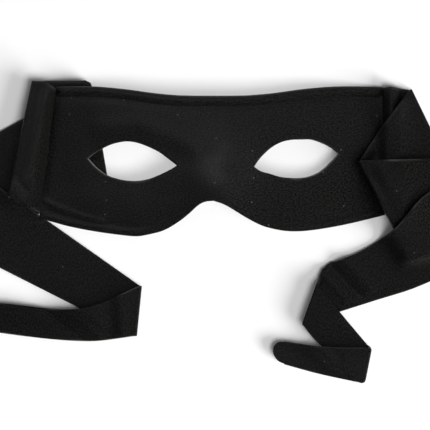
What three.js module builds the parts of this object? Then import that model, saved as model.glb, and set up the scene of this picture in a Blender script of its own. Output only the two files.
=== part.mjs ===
// Domino mask: a moulded cloth front with two eye holes, and a long tapering cloth tie sewn to each end.
// It lies face up. X runs to the wearer's left, Y up the face and Z out of the face, all in millimetres.
// While it is built, X = 0 is the middle of the nose and Y = 0 the eye line. At the end the whole part is
// moved so that the middle of its footprint is the origin.
import * as THREE from 'three';

// Driving dimensions of the front
const MASK_WIDTH = 150;
const MASK_HEIGHT = 65;
const MASK_CLOTH = 1.5;
const CROWN_HEIGHT = 15;
const NOSE_HEIGHT = 8;
const NOSE_WIDTH = 19;
const SOCKET_DEPTH = 1.6;
const EYE_WIDTH = 38.5;
const EYE_HEIGHT = 17.5;
const EYE_SPACING = 34;
const RIM_WIDTH = 3.8;
const RIM_HEIGHT = 1.3;
const LIP_WIDTH = 3.4;
const LIP_HEIGHT = 0.9;
const SEAM_LAP = 3;

// Driving dimensions of the ties
const TIE_LENGTH = 313;
const TIE_ROOT_WIDTH = 55.5;
const TIE_TIP_WIDTH = 9.6;
const TIE_CLOTH = 1;
const ROLL_HEIGHT = 3;
const LAYER_GAP = 0.5;
const SEAM_GAP = 0.3;

// How finely the cloth is divided
const CENTRE_STEPS = 5;
const EDGE_STEPS = 24;
const END_STEPS = 5;
const TIE_STEP = 5;
const ACROSS_STEPS = 6;
const FOLD_STEPS = 4;
const TIP_STEPS = 5;
const PILE_CELL = 1;
const PILE_REACH = 4;

// The front's edges. out is a share of half the width, the others are shares of the height.
const EDGES = [
  { out: 0.00, top: 0.430, lowLeft: -0.280, lowRight: -0.280 },
  { out: 0.05, top: 0.430, lowLeft: -0.287, lowRight: -0.299 },
  { out: 0.09, top: 0.430, lowLeft: -0.311, lowRight: -0.322 },
  { out: 0.14, top: 0.431, lowLeft: -0.363, lowRight: -0.357 },
  { out: 0.20, top: 0.433, lowLeft: -0.418, lowRight: -0.399 },
  { out: 0.29, top: 0.441, lowLeft: -0.479, lowRight: -0.450 },
  { out: 0.38, top: 0.453, lowLeft: -0.507, lowRight: -0.476 },
  { out: 0.45, top: 0.465, lowLeft: -0.519, lowRight: -0.485 },
  { out: 0.55, top: 0.480, lowLeft: -0.509, lowRight: -0.481 },
  { out: 0.70, top: 0.495, lowLeft: -0.485, lowRight: -0.456 },
  { out: 0.85, top: 0.498, lowLeft: -0.452, lowRight: -0.420 },
  { out: 1.00, top: 0.496, lowLeft: -0.406, lowRight: -0.379 },
  { out: 1.15, top: 0.494, lowLeft: -0.370, lowRight: -0.345 },
];

// The eyelids, from the inner corner to the outer one. along is a share of the eye's width, the others
// are heights above and below the line between the corners, as shares of the eye's height.
const LIDS = [
  { along: 0.00, leftAbove: 0.000, leftBelow: 0.000, rightAbove: 0.000, rightBelow: 0.000 },
  { along: 0.07, leftAbove: 0.105, leftBelow: 0.110, rightAbove: 0.185, rightBelow: 0.125 },
  { along: 0.19, leftAbove: 0.285, leftBelow: 0.262, rightAbove: 0.392, rightBelow: 0.241 },
  { along: 0.31, leftAbove: 0.400, leftBelow: 0.388, rightAbove: 0.504, rightBelow: 0.357 },
  { along: 0.43, leftAbove: 0.481, leftBelow: 0.461, rightAbove: 0.530, rightBelow: 0.423 },
  { along: 0.55, leftAbove: 0.505, leftBelow: 0.481, rightAbove: 0.501, rightBelow: 0.461 },
  { along: 0.67, leftAbove: 0.451, leftBelow: 0.453, rightAbove: 0.461, rightBelow: 0.451 },
  { along: 0.79, leftAbove: 0.340, leftBelow: 0.377, rightAbove: 0.344, rightBelow: 0.365 },
  { along: 0.91, leftAbove: 0.165, leftBelow: 0.200, rightAbove: 0.179, rightBelow: 0.175 },
  { along: 1.00, leftAbove: 0.000, leftBelow: 0.000, rightAbove: 0.000, rightBelow: 0.000 },
];

// What differs between the two sides. seamOut is a share of half the width and seamUp of the height: the
// middle of the seam to the tie. seamLean is how far the seam leans to +X as it rises. eyeOut is the inner
// corner as a share of the eye spacing, eyeUp its height as a share of the mask's, eyeLong the eye's length as
// a share of its width, and eyeTilt its rise in degrees.
const SIDES = {
  left: { sign: -1, seamOut: 0.979, seamUp: 0.061, seamLean: 0.129, eyeOut: 0.475, eyeUp: -0.040, eyeLong: 1.02, eyeTilt: 4.7 },
  right: { sign: 1, seamOut: 1.009, seamUp: 0.065, seamLean: -0.016, eyeOut: 0.528, eyeUp: -0.048, eyeLong: 0.975, eyeTilt: 8.9 },
};

// Lines across each tie, in order from the seam. run is the way from the line before, as a share of the
// tie's length, and heading its direction in degrees. across is the line's own direction, from the edge
// that starts at the top of the mask to the other. width is 0 at the tip's width and 1 at the root's.
// fold says how the cloth turns there, lift is a share of the roll's height, and laid the order of laying.
const LEFT_TIE = [
  { line: 'roll', run: 0.0179, heading: 150.4, across: -98.2, width: 1.01, lift: 1.0 },
  { line: 'outer fold', run: 0.0257, heading: 159.8, across: -101.8, width: 0.93, fold: 'under', laid: 4 },
  { line: 'hidden fold', run: 0.1142, heading: 2.4, across: -80.2, width: 0.87, fold: 'under', laid: 2 },
  { line: 'far fold', run: 0.2300, heading: -156.5, across: -93.6, width: 0.63, fold: 'over', laid: 1 },
  { line: 'low fold', run: 0.3094, heading: -30.6, across: -95.7, width: 0.28, fold: 'over', laid: 3 },
  { line: 'pleat', run: 0.0782, heading: -165.8, across: -76.4, width: 0.12 },
  { line: 'strap', run: 0.1223, heading: 175.5, across: -90.0, width: 0.08 },
  { line: 'tip', run: 0.1023, heading: 172.5, across: -90.0, width: 0.00, laid: 5 },
];
const RIGHT_TIE = [
  { line: 'roll', run: 0.0120, heading: 3.4, across: -88.6, width: 1.01, lift: 0.8 },
  { line: 'foot', run: 0.0198, heading: 6.1, across: -84.7, width: 0.95 },
  { line: 'outer fold', run: 0.0438, heading: 18.7, across: -64.1, width: 0.86, fold: 'over', laid: 1 },
  { line: 'temple', run: 0.0616, heading: -128.0, across: -63.0, width: 0.86 },
  { line: 'inner fold', run: 0.0638, heading: -126.5, across: -62.2, width: 0.83, fold: 'over', laid: 2 },
  { line: 'wide', run: 0.0863, heading: 6.5, across: -73.4, width: 0.67 },
  { line: 'far fold', run: 0.1106, heading: 7.7, across: -72.0, width: 0.54, fold: 'over', laid: 3 },
  { line: 'shoulder', run: 0.1251, heading: -153.3, across: -66.0, width: 0.57 },
  { line: 'slope', run: 0.0651, heading: -144.0, across: -69.7, width: 0.40 },
  { line: 'valley', run: 0.0585, heading: -154.4, across: -75.3, width: 0.29 },
  { line: 'low fold', run: 0.0838, heading: -162.7, across: -109.9, width: 0.39, fold: 'over', laid: 4 },
  { line: 'band', run: 0.0462, heading: -63.8, across: -125.4, width: 0.16 },
  { line: 'last fold', run: 0.0864, heading: -44.3, across: -101.3, width: 0.14, fold: 'over', laid: 5 },
  { line: 'strap', run: 0.0679, heading: 173.2, across: -98.3, width: 0.06 },
  { line: 'tip', run: 0.0687, heading: 168.6, across: -90.0, width: 0.00, laid: 6 },
];

const halfWidth = MASK_WIDTH / 2;
const clothMaterial = new THREE.MeshStandardMaterial({ color: 0x181816, roughness: 0.95, metalness: 0 });

// A smooth value from a table: the column's value where the key column reads at.
function valueAt(rows, key, column, at) {
  const next = rows.findIndex((row) => row[key] > at);
  const i = next < 0 ? rows.length - 2 : Math.max(next - 1, 0);
  const here = rows[i];
  const there = rows[i + 1];
  const slope = (first, last) => (last[column] - first[column]) / (last[key] - first[key]);
  const slopeHere = slope(rows[Math.max(i - 1, 0)], there);
  const slopeThere = slope(here, rows[Math.min(i + 2, rows.length - 1)]);
  const span = there[key] - here[key];
  const t = THREE.MathUtils.clamp((at - here[key]) / span, 0, 1);
  const rise = there[column] - here[column];
  const bend = t * (1 - t) * ((1 - t) * (slopeHere * span - rise) - t * (slopeThere * span - rise));
  return here[column] + t * rise + bend;
}

// A sheet is a list of points on the middle of the cloth and a list of triangles seen from above.
function emptySheet() {
  return { points: [], triangles: [], welded: new Map() };
}

function addPoint(sheet, point) {
  const name = point.toArray().map((value) => Math.round(value * 1000)).join(',');
  if (!sheet.welded.has(name)) {
    sheet.welded.set(name, sheet.points.length);
    sheet.points.push(point);
  }
  return sheet.welded.get(name);
}

// Adds rows of points as a sheet, each row joined to the next. turned says that the rows run the other way.
function addGrid(sheet, rows, turned) {
  const index = rows.map((row) => row.map((point) => addPoint(sheet, point)));
  for (let i = 0; i + 1 < index.length; i += 1) {
    for (let j = 0; j + 1 < index[i].length; j += 1) {
      const corners = [index[i][j], index[i + 1][j], index[i + 1][j + 1], index[i][j + 1]];
      if (turned) corners.reverse();
      const [a, b, c, d] = corners;
      if (a !== b && b !== c && c !== a) sheet.triangles.push([a, b, c]);
      if (a !== c && c !== d && d !== a) sheet.triangles.push([a, c, d]);
    }
  }
}

// Gives a sheet its cloth's thickness: an upper face, a lower face and a wall along each free edge.
function thicken(sheet, cloth) {
  const normals = sheet.points.map(() => new THREE.Vector3());
  const edges = new Set();
  for (const [a, b, c] of sheet.triangles) {
    const along = sheet.points[b].clone().sub(sheet.points[a]);
    const normal = along.cross(sheet.points[c].clone().sub(sheet.points[a]));
    for (const corner of [a, b, c]) normals[corner].add(normal);
    for (const [from, to] of [[a, b], [b, c], [c, a]]) edges.add(`${from},${to}`);
  }
  const count = sheet.points.length;
  const positions = [];
  for (const side of [0.5, -0.5]) {
    sheet.points.forEach((point, i) => {
      positions.push(...point.clone().addScaledVector(normals[i].clone().normalize(), side * cloth));
    });
  }
  const faces = [];
  for (const [a, b, c] of sheet.triangles) faces.push(a, b, c, a + count, c + count, b + count);
  for (const edge of edges) {
    const [from, to] = edge.split(',').map(Number);
    if (!edges.has(`${to},${from}`)) faces.push(from, from + count, to, to, from + count, to + count);
  }
  const geometry = new THREE.BufferGeometry();
  geometry.setAttribute('position', new THREE.Float32BufferAttribute(positions, 3));
  geometry.setIndex(faces);
  geometry.computeVertexNormals();
  return geometry;
}

// The pile keeps the height of what is already laid, in square cells, so that the next layer lies on it.
const pile = new Map();

function addToPile(sheet, cloth) {
  const triangle = new THREE.Triangle();
  const spot = new THREE.Vector3();
  const weights = new THREE.Vector3();
  for (const corners of sheet.triangles) {
    const [a, b, c] = corners.map((corner) => sheet.points[corner]);
    triangle.set(a.clone().setZ(0), b.clone().setZ(0), c.clone().setZ(0));
    if (triangle.getArea() === 0) continue;
    const box = new THREE.Box3().setFromPoints([a, b, c]);
    for (let i = Math.floor(box.min.x / PILE_CELL); i <= box.max.x / PILE_CELL; i += 1) {
      for (let j = Math.floor(box.min.y / PILE_CELL); j <= box.max.y / PILE_CELL; j += 1) {
        spot.set((i + 0.5) * PILE_CELL, (j + 0.5) * PILE_CELL, 0);
        triangle.getBarycoord(spot, weights);
        if (Math.min(weights.x, weights.y, weights.z) < 0) continue;
        const top = weights.dot(new THREE.Vector3(a.z, b.z, c.z)) + cloth / 2;
        pile.set(`${i},${j}`, Math.max(pile.get(`${i},${j}`) ?? 0, top));
      }
    }
  }
}

// The lowest height at which the middle of the next layer clears the pile near a place.
function restingHeight(x, y, cloth) {
  const cells = Math.ceil(PILE_REACH / PILE_CELL);
  const column = Math.floor(x / PILE_CELL);
  const row = Math.floor(y / PILE_CELL);
  let top = 0;
  for (let i = -cells; i <= cells; i += 1) {
    for (let j = -cells; j <= cells; j += 1) {
      if (Math.hypot(i, j) > cells) continue;
      top = Math.max(top, pile.get(`${column + i},${row + j}`) ?? 0);
    }
  }
  return top > 0 ? top + LAYER_GAP + cloth / 2 : cloth / 2;
}

// The front: its outline, its eye holes and the height of its cloth

function topEdge(x) {
  return MASK_HEIGHT * valueAt(EDGES, 'out', 'top', Math.abs(x) / halfWidth);
}

function lowEdge(x) {
  return MASK_HEIGHT * valueAt(EDGES, 'out', x < 0 ? 'lowLeft' : 'lowRight', Math.abs(x) / halfWidth);
}

function seamCentre(side) {
  return new THREE.Vector2(side.sign * side.seamOut * halfWidth, side.seamUp * MASK_HEIGHT);
}

// Where the seam line stands at a height.
function seamX(side, y) {
  const centre = seamCentre(side);
  return centre.x + side.seamLean * (y - centre.y);
}

// Where the front's end edge stands at a height. Between its corners it bows out beyond the seam line, by a
// lap that lies under the tie.
function endX(side, y) {
  const up = (y - seamCentre(side).y) / (TIE_ROOT_WIDTH / 2);
  return seamX(side, y) + side.sign * SEAM_LAP * Math.max(0, 1 - up ** 4);
}

function eyeCorner(side) {
  return new THREE.Vector2(side.sign * side.eyeOut * EYE_SPACING, side.eyeUp * MASK_HEIGHT);
}

// A point on the upper or lower lid, at a share of the way from the inner corner to the outer one.
function lidPoint(side, upper, along) {
  const name = (side.sign < 0 ? 'left' : 'right') + (upper ? 'Above' : 'Below');
  const height = EYE_HEIGHT * valueAt(LIDS, 'along', name, along) * (upper ? 1 : -1);
  const tilt = THREE.MathUtils.degToRad(side.eyeTilt);
  const reach = along * EYE_WIDTH * side.eyeLong;
  const across = reach * Math.cos(tilt);
  const up = reach * Math.sin(tilt) + height;
  return eyeCorner(side).add(new THREE.Vector2(side.sign * across, up));
}

function eyeCentre(side) {
  return lidPoint(side, true, 0).add(lidPoint(side, true, 1)).multiplyScalar(0.5);
}

// A bell of height 1 at 0 that falls away on both sides over the given spread.
function bell(distance, spread) {
  return Math.exp(-((distance / spread) ** 2));
}

// A rolled edge: a half-round ridge as wide as given, with a shallow groove behind it.
function rolledEdge(distance, width, height) {
  if (distance < width) return height * Math.sin(Math.PI * THREE.MathUtils.clamp(distance / width, 0, 1));
  return -0.5 * height * bell(distance - 1.3 * width, 0.4 * width);
}

// The left end lies on two layers of its tie, and the right end on the table.
function endHeight(x) {
  const share = THREE.MathUtils.clamp(0.5 - x / MASK_WIDTH, 0, 1);
  return share * 2 * (TIE_CLOTH + LAYER_GAP);
}

function maskHeight(x, y) {
  const out = Math.abs(x) / halfWidth;
  const middle = (topEdge(x) + lowEdge(x)) / 2;
  const up = (y - middle) / (topEdge(x) - middle);
  const arch = CROWN_HEIGHT * Math.max(0, 1 - out ** 2.4) ** 1.3 * (1 - 0.25 * up ** 2);
  const bridge = THREE.MathUtils.smoothstep(-y, -0.34 * MASK_HEIGHT, 0.2 * MASK_HEIGHT);
  const nose = NOSE_HEIGHT * bridge * bell(x, NOSE_WIDTH / 2);
  let socket = 0;
  for (const side of Object.values(SIDES)) {
    const centre = eyeCentre(side);
    socket += SOCKET_DEPTH * bell(x - centre.x, 0.6 * EYE_WIDTH) * bell(y - centre.y, 0.9 * EYE_HEIGHT);
  }
  const side = x < 0 ? SIDES.left : SIDES.right;
  const flat = THREE.MathUtils.smoothstep(side.sign * (seamX(side, y) - x), 0, SEAM_LAP);
  const rim = flat * rolledEdge(topEdge(x) - y, RIM_WIDTH, RIM_HEIGHT);
  const fade = flat * THREE.MathUtils.smoothstep(out, 0.25, 0.6);
  const lip = fade * rolledEdge(y - lowEdge(x), LIP_WIDTH, LIP_HEIGHT);
  const seat = endHeight(x) + MASK_CLOTH / 2;
  return Math.max(seat, seat + arch + nose - socket + rim + lip);
}

// Distances in from an edge, in widths of the rim, at which its roll and groove are sampled.
const RIM_RINGS = [1.35, 0.8, 0.4, 0];
const INNER_RINGS = [0, 0.1, 0.27, 0.5, 0.75];

// Heights from the middle of an end, or of the nose, up or down to an edge: even steps, then the rim's own.
function railHeights(start, edge, steps) {
  const inward = Math.sign(start - edge) * RIM_WIDTH;
  const rim = RIM_RINGS.map((ring) => edge + inward * ring);
  const even = Array.from({ length: steps }, (_, i) => THREE.MathUtils.lerp(start, rim[0], i / steps));
  return [...even, ...rim];
}

// The half outline above or below the eye, from the middle line out along an edge and to the end.
function halfOutline(side, upper) {
  const edge = upper ? topEdge : lowEdge;
  const corner = new THREE.Vector2(side.sign * halfWidth, edge(side.sign * halfWidth));
  corner.x = endX(side, corner.y);
  corner.y = edge(corner.x);
  const noseRail = railHeights(SIDES.left.eyeUp * MASK_HEIGHT, edge(0), CENTRE_STEPS);
  const endRail = railHeights(lidPoint(side, true, 1).y, corner.y, END_STEPS).reverse();
  const outline = noseRail.map((y) => new THREE.Vector2(0, y));
  for (let i = 1; i < EDGE_STEPS; i += 1) {
    const x = corner.x * (i / EDGE_STEPS);
    outline.push(new THREE.Vector2(x, edge(x)));
  }
  outline.push(corner);
  for (const y of endRail.slice(1)) outline.push(new THREE.Vector2(endX(side, y), y));
  return outline;
}

// One strip of the front, from a lid out to the outline.
function frontStrip(sheet, side, upper) {
  const outline = halfOutline(side, upper);
  const rows = outline.map((outer, i) => {
    const inner = lidPoint(side, upper, i / (outline.length - 1));
    const depth = Math.max(Math.abs(outer.y - inner.y), outer.distanceTo(inner) / 2);
    const rim = RIM_RINGS.map((ring) => 1 - (ring * RIM_WIDTH) / depth);
    const shares = [...INNER_RINGS.map((ring) => ring * rim[0]), ...rim];
    return shares.map((share) => {
      const spot = inner.clone().lerp(outer, share);
      return new THREE.Vector3(spot.x, spot.y, maskHeight(spot.x, spot.y));
    });
  });
  addGrid(sheet, rows, upper !== side.sign > 0);
}

function frontSheet() {
  const sheet = emptySheet();
  for (const side of Object.values(SIDES)) {
    for (const upper of [true, false]) frontStrip(sheet, side, upper);
  }
  return sheet;
}

// The ties: where each line across lies, then the panels between folds, then the folds that join them

function direction(degrees) {
  const angle = THREE.MathUtils.degToRad(degrees);
  return new THREE.Vector2(Math.cos(angle), Math.sin(angle));
}

// The two ends of each line across a tie, seen from above.
function tieLines(side, rows) {
  const centre = seamCentre(side);
  const down = new THREE.Vector2(-side.seamLean, -1).normalize().multiplyScalar(TIE_ROOT_WIDTH / 2);
  const lines = [{ sewn: true, lift: 0, a: centre.clone().sub(down), b: centre.clone().add(down) }];
  for (const row of rows) {
    centre.addScaledVector(direction(row.heading), row.run * TIE_LENGTH);
    const width = THREE.MathUtils.lerp(TIE_TIP_WIDTH, TIE_ROOT_WIDTH, row.width);
    const half = direction(row.across).multiplyScalar(width / 2);
    lines.push({ ...row, lift: row.lift ?? 0, a: centre.clone().sub(half), b: centre.clone().add(half) });
  }
  return lines;
}

// The line at a fold, drawn back towards a panel's cloth to leave room for the turn.
function drawnBack(line, towards) {
  const along = line.b.clone().sub(line.a).normalize();
  const inward = new THREE.Vector2(-along.y, along.x);
  const middle = towards.a.clone().add(towards.b).sub(line.a).sub(line.b);
  if (inward.dot(middle) < 0) inward.negate();
  inward.multiplyScalar(TIE_CLOTH + LAYER_GAP / 2);
  return { ...line, a: line.a.clone().add(inward), b: line.b.clone().add(inward) };
}

// Cuts a tie's lines into panels, each from one fold to the next.
function tiePanels(lines) {
  const panels = [];
  let current = [lines[0]];
  for (const line of lines.slice(1)) {
    const last = current.at(-1);
    if (line.fold) {
      current.push(drawnBack(line, last));
      panels.push({ lines: current, laid: line.laid });
      current = [{ ...line, lift: 0, folded: true }];
    } else {
      if (current[0].folded && current.length === 1) current[0] = drawnBack(current[0], line);
      current.push(line);
      if (line.laid) panels.push({ lines: current, laid: line.laid });
    }
  }
  return panels;
}

// Fills a panel with rows of points, level with the table for now.
function fillPanel(panel) {
  const curve = (end) => new THREE.CatmullRomCurve3(
    panel.lines.map((line) => new THREE.Vector3(line[end].x, line[end].y, line.lift * ROLL_HEIGHT)), false, 'centripetal');
  const edges = [curve('a'), curve('b')];
  panel.rows = [];
  for (let i = 0; i + 1 < panel.lines.length; i += 1) {
    const here = panel.lines[i];
    const there = panel.lines[i + 1];
    const length = Math.max(here.a.distanceTo(there.a), here.b.distanceTo(there.b));
    const steps = Math.max(2, Math.round(length / TIE_STEP));
    for (let k = i === 0 ? 0 : 1; k <= steps; k += 1) {
      const at = (i + k / steps) / (panel.lines.length - 1);
      const [a, b] = edges.map((edge) => edge.getPoint(at));
      panel.rows.push(Array.from({ length: ACROSS_STEPS + 1 }, (_, j) => a.clone().lerp(b, j / ACROSS_STEPS)));
    }
  }
}

// Rounds the last row of a tie into its tip.
function roundTip(rows) {
  const last = rows.at(-1);
  const before = rows.at(-2);
  const radius = last[0].distanceTo(last.at(-1)) / 2;
  const centre = last[0].clone().lerp(last.at(-1), 0.5);
  const ahead = centre.clone().sub(before[0].clone().lerp(before.at(-1), 0.5)).setZ(0).normalize();
  rows.pop();
  for (let k = 0; k <= TIP_STEPS; k += 1) {
    const turn = (Math.PI / 2) * Math.min(k / TIP_STEPS, 0.94);
    rows.push(last.map((point) => centre.clone()
      .addScaledVector(ahead, radius * (Math.sin(turn) - 1))
      .addScaledVector(point.clone().sub(centre), Math.cos(turn))));
  }
}

// The height at which a tie's first row is sewn down on the front.
function sewnHeight(x, y) {
  return maskHeight(x, y) + MASK_CLOTH / 2 + SEAM_GAP + TIE_CLOTH / 2;
}

// Lays a panel on the pile and smooths it, so that it slopes down where a layer under it ends.
function layPanel(panel) {
  const sewn = (i) => panel.lines[0].sewn && i === 0;
  const lowest = panel.rows.map((row, i) => row.map(({ x, y, z }) => (
    sewn(i) ? sewnHeight(x, y) : z + restingHeight(x, y, TIE_CLOTH))));
  let heights = lowest;
  for (let pass = 0; pass < 12; pass += 1) {
    heights = heights.map((row, i) => row.map((height, j) => {
      const near = [heights[i - 1]?.[j], heights[i + 1]?.[j], row[j - 1], row[j + 1]].filter((value) => value !== undefined);
      const mean = near.reduce((sum, value) => sum + value, 0) / near.length;
      return sewn(i) ? height : Math.max(lowest[i][j], (height + mean) / 2);
    }));
  }
  panel.rows.forEach((row, i) => row.forEach((point, j) => point.setZ(heights[i][j])));
  const sheet = emptySheet();
  addGrid(sheet, panel.rows, false);
  addToPile(sheet, TIE_CLOTH);
}

// The rows of points that carry the cloth round a fold, from one panel's end to the next one's start.
function foldRows(from, to, outward) {
  const rows = [];
  const reach = TIE_CLOTH / 2 + LAYER_GAP / 2;
  for (let k = 1; k < FOLD_STEPS; k += 1) {
    const turn = (Math.PI * k) / FOLD_STEPS;
    rows.push(from.map((point, j) => point.clone().lerp(to[j], (1 - Math.cos(turn)) / 2)
      .addScaledVector(outward, reach * Math.sin(turn))));
  }
  return rows;
}

// The whole tie's rows: its panels with a turn at each fold.
function tieSheet(panels) {
  const rows = [...panels[0].rows];
  for (let i = 1; i < panels.length; i += 1) {
    const ending = panels[i - 1].rows;
    const starting = panels[i].rows;
    const along = starting[0].at(-1).clone().sub(starting[0][0]).setZ(0).normalize();
    const outward = new THREE.Vector3(-along.y, along.x, 0);
    if (outward.dot(ending.at(-1)[0].clone().sub(ending.at(-2)[0])) < 0) outward.negate();
    rows.push(...foldRows(ending.at(-1), starting[0], outward), ...starting);
  }
  const sheet = emptySheet();
  addGrid(sheet, rows, false);
  return sheet;
}

function tiePieces(side, rows) {
  const panels = tiePanels(tieLines(side, rows));
  panels.forEach(fillPanel);
  roundTip(panels.at(-1).rows);
  return panels;
}

function clothMesh(name, sheet, cloth) {
  const mesh = new THREE.Mesh(thicken(sheet, cloth), clothMaterial.clone());
  mesh.name = name;
  return mesh;
}

// Laying order: the left tie's lower layers, the front, the left tie's root, then the right tie.
const leftPanels = tiePieces(SIDES.left, LEFT_TIE);
const rightPanels = tiePieces(SIDES.right, RIGHT_TIE);
const inOrder = (panels) => [...panels].sort((first, second) => first.laid - second.laid);
const [root, ...lower] = leftPanels;
inOrder(lower).forEach(layPanel);
const front = frontSheet();
addToPile(front, MASK_CLOTH);
layPanel(root);
inOrder(rightPanels).forEach(layPanel);

const domino = new THREE.Group();
domino.add(clothMesh('mask_front', front, MASK_CLOTH));
domino.add(clothMesh('tie_left', tieSheet(leftPanels), TIE_CLOTH));
domino.add(clothMesh('tie_right', tieSheet(rightPanels), TIE_CLOTH));

const middle = new THREE.Box3().setFromObject(domino).getCenter(new THREE.Vector3());
domino.position.set(-middle.x, -middle.y, 0);
domino.updateMatrixWorld(true);

export default domino;
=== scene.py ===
"""A black cloth domino mask lying face up, with a long tapering tie folded at each end.

The front is one moulded sheet with almond eye holes, a rolled rim and a raised nose bridge. Each tie is one
strip of thinner cloth, laid down fold by fold on a record of how high the cloth under it already stands.
Lengths are in millimetres until a mesh is made.
"""
import math

import bpy
import numpy as np
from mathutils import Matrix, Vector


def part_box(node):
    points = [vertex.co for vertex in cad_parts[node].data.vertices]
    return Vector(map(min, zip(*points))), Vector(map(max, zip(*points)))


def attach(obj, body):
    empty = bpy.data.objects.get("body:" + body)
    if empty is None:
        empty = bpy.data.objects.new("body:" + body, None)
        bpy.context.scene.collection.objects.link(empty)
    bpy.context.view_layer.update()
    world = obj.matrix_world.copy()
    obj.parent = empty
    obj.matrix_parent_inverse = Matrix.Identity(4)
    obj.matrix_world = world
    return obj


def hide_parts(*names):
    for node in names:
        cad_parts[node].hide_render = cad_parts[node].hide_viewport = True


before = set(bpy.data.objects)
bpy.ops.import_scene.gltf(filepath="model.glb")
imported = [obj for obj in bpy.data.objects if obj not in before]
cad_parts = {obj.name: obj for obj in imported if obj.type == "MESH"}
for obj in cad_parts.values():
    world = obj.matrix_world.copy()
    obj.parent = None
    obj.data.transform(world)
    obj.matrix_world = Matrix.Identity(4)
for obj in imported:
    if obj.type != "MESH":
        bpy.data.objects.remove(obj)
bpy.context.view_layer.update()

MM = 0.001

# The photo, in its pixels: its size, the front's width between its seams and the middle of the eye line
PHOTO_SIZE = 430
PHOTO_FRONT_WIDTH = 338
PHOTO_MIDDLE = (213.5, 160)

# The front
MASK_WIDTH = 150.0
MASK_HEIGHT = 65.0
MASK_CLOTH = 1.5
CROWN_HEIGHT = 15.0
NOSE_HEIGHT = 8.0
NOSE_WIDTH = 25.0
NOSE_ASIDE = 2.6
SOCKET_DEPTH = 2.4
EYE_WIDTH = 38.5
EYE_HEIGHT = 17.5
EYE_SPACING = 34.0
RIM_WIDTH = 3.8
RIM_HEIGHT = 1.7
LIP_WIDTH = 3.4
LIP_HEIGHT = 0.8
SEAM_LAP = 3.0
SLACK_HEIGHT = 0.16
SLACK_LENGTH = 17.0

# The ties. AIR is how far loose cloth lies above its lowest place, HELD_LENGTH how far from the seam it is
# held down, and the fray share how much of the pale edge fibres, partly a painted highlight, most edges show.
TIE_LENGTH = 313.0
TIE_ROOT_WIDTH = 55.5
TIE_TIP_WIDTH = 9.6
TIE_CLOTH = 0.8
ROLL_HEIGHT = 5.0
LAYER_GAP = 0.5
SEAM_GAP = 0.3
AIR = 0.9
WAVE_HEIGHT = 0.35
WAVE_LENGTH = 34.0
HELD_LENGTH = 4.0
FRAY_AND_HIGHLIGHT_WIDTH = 0.6
FRAY_AND_HIGHLIGHT_SHARE = 0.25

# The finishes: how far apart specks of lint can lie, and how deep the grain is
LINT_SPACING = 8.0
GRAIN_DEPTH = 0.3

HALF_WIDTH = MASK_WIDTH / 2

# The front's edges: out is a share of half the width, the others are shares of the height.
EDGES = (
    ("out", "top", "low_left", "low_right"),
    (0.00, 0.430, -0.280, -0.280),
    (0.05, 0.430, -0.287, -0.299),
    (0.09, 0.430, -0.311, -0.322),
    (0.14, 0.431, -0.363, -0.357),
    (0.20, 0.433, -0.418, -0.399),
    (0.29, 0.441, -0.479, -0.450),
    (0.38, 0.453, -0.507, -0.476),
    (0.45, 0.465, -0.519, -0.485),
    (0.55, 0.480, -0.509, -0.481),
    (0.70, 0.495, -0.485, -0.456),
    (0.85, 0.498, -0.452, -0.420),
    (1.00, 0.496, -0.406, -0.379),
    (1.15, 0.494, -0.370, -0.345),
)

# The eyelids from the inner corner out: along is a share of the eye's width, the others shares of its height.
LIDS = (
    ("along", "left_above", "left_below", "right_above", "right_below"),
    (0.00, 0.000, 0.000, 0.000, 0.000),
    (0.07, 0.105, 0.110, 0.185, 0.125),
    (0.19, 0.285, 0.262, 0.392, 0.241),
    (0.31, 0.400, 0.388, 0.504, 0.357),
    (0.43, 0.481, 0.461, 0.530, 0.423),
    (0.55, 0.505, 0.481, 0.501, 0.461),
    (0.67, 0.451, 0.453, 0.461, 0.451),
    (0.79, 0.340, 0.377, 0.344, 0.365),
    (0.91, 0.165, 0.200, 0.179, 0.175),
    (1.00, 0.000, 0.000, 0.000, 0.000),
)

# What differs between the sides: the middle of the seam to the tie (seam_out a share of half the width,
# seam_up of the height), how far the seam leans to +X as it rises, and the eye's inner corner (eye_out a
# share of the eyes' spacing, eye_up of the mask's height), length (a share of the eye's width) and tilt in
# degrees.
SIDES = {
    "left": dict(sign=-1, seam_out=0.979, seam_up=0.061, seam_lean=0.129,
                 eye_out=0.475, eye_up=-0.040, eye_long=1.02, eye_tilt=4.7),
    "right": dict(sign=1, seam_out=1.009, seam_up=0.065, seam_lean=-0.016,
                  eye_out=0.528, eye_up=-0.048, eye_long=0.975, eye_tilt=8.9),
}

# Lines across each tie from the seam on. run is a share of the tie's length, heading its direction in
# degrees, across the line's own direction, width 0 at the tip's width and 1 at the root's, and lift a share
# of the roll's height that the cloth stands up there, or lift_b at the line's second end alone. A fold may
# have round corners of radius round_a and round_b, and the next panel may start at tuck_a, a share of the way
# along the fold. The panel that ends at a line is laid down in the order that laid gives, with air above its
# lowest place. It is smoothed drape times, so that it slopes off an edge below, and the fray share is the
# share of the pale fibres that its free edges show, which are partly a painted highlight along the edge.
LEFT_TIE = (
    dict(line="roll foot", run=0.0110, heading=150.4, across=-97.8, width=1.01, lift=0.65),
    dict(line="roll", run=0.0069, heading=150.4, across=-98.2, width=1.01, lift=0.8),
    dict(line="outer fold", run=0.0257, heading=159.8, across=-101.8, width=0.93, fold=True, laid=4),
    dict(line="hidden fold", run=0.1142, heading=2.4, across=-80.2, width=0.87, fold=True, laid=2,
         round_a=2.4),
    dict(line="far fold", run=0.2300, heading=-156.5, across=-93.6, width=0.63, fold=True, laid=1),
    dict(line="low fold", run=0.3094, heading=-30.6, across=-95.7, width=0.28, fold=True, laid=3),
    dict(line="pleat", run=0.0782, heading=-165.8, across=-76.4, width=0.12, lift=0.35),
    dict(line="strap", run=0.1223, heading=175.5, across=-90.0, width=0.08, lift=0.45),
    # The strap's edges show most of the pale fibres, here also a painted highlight along the edge.
    dict(line="tip", run=0.1023, heading=172.5, across=-90.0, width=0.00, lift=0.1, laid=5, fray_and_edge_highlight=0.7),
)
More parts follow.
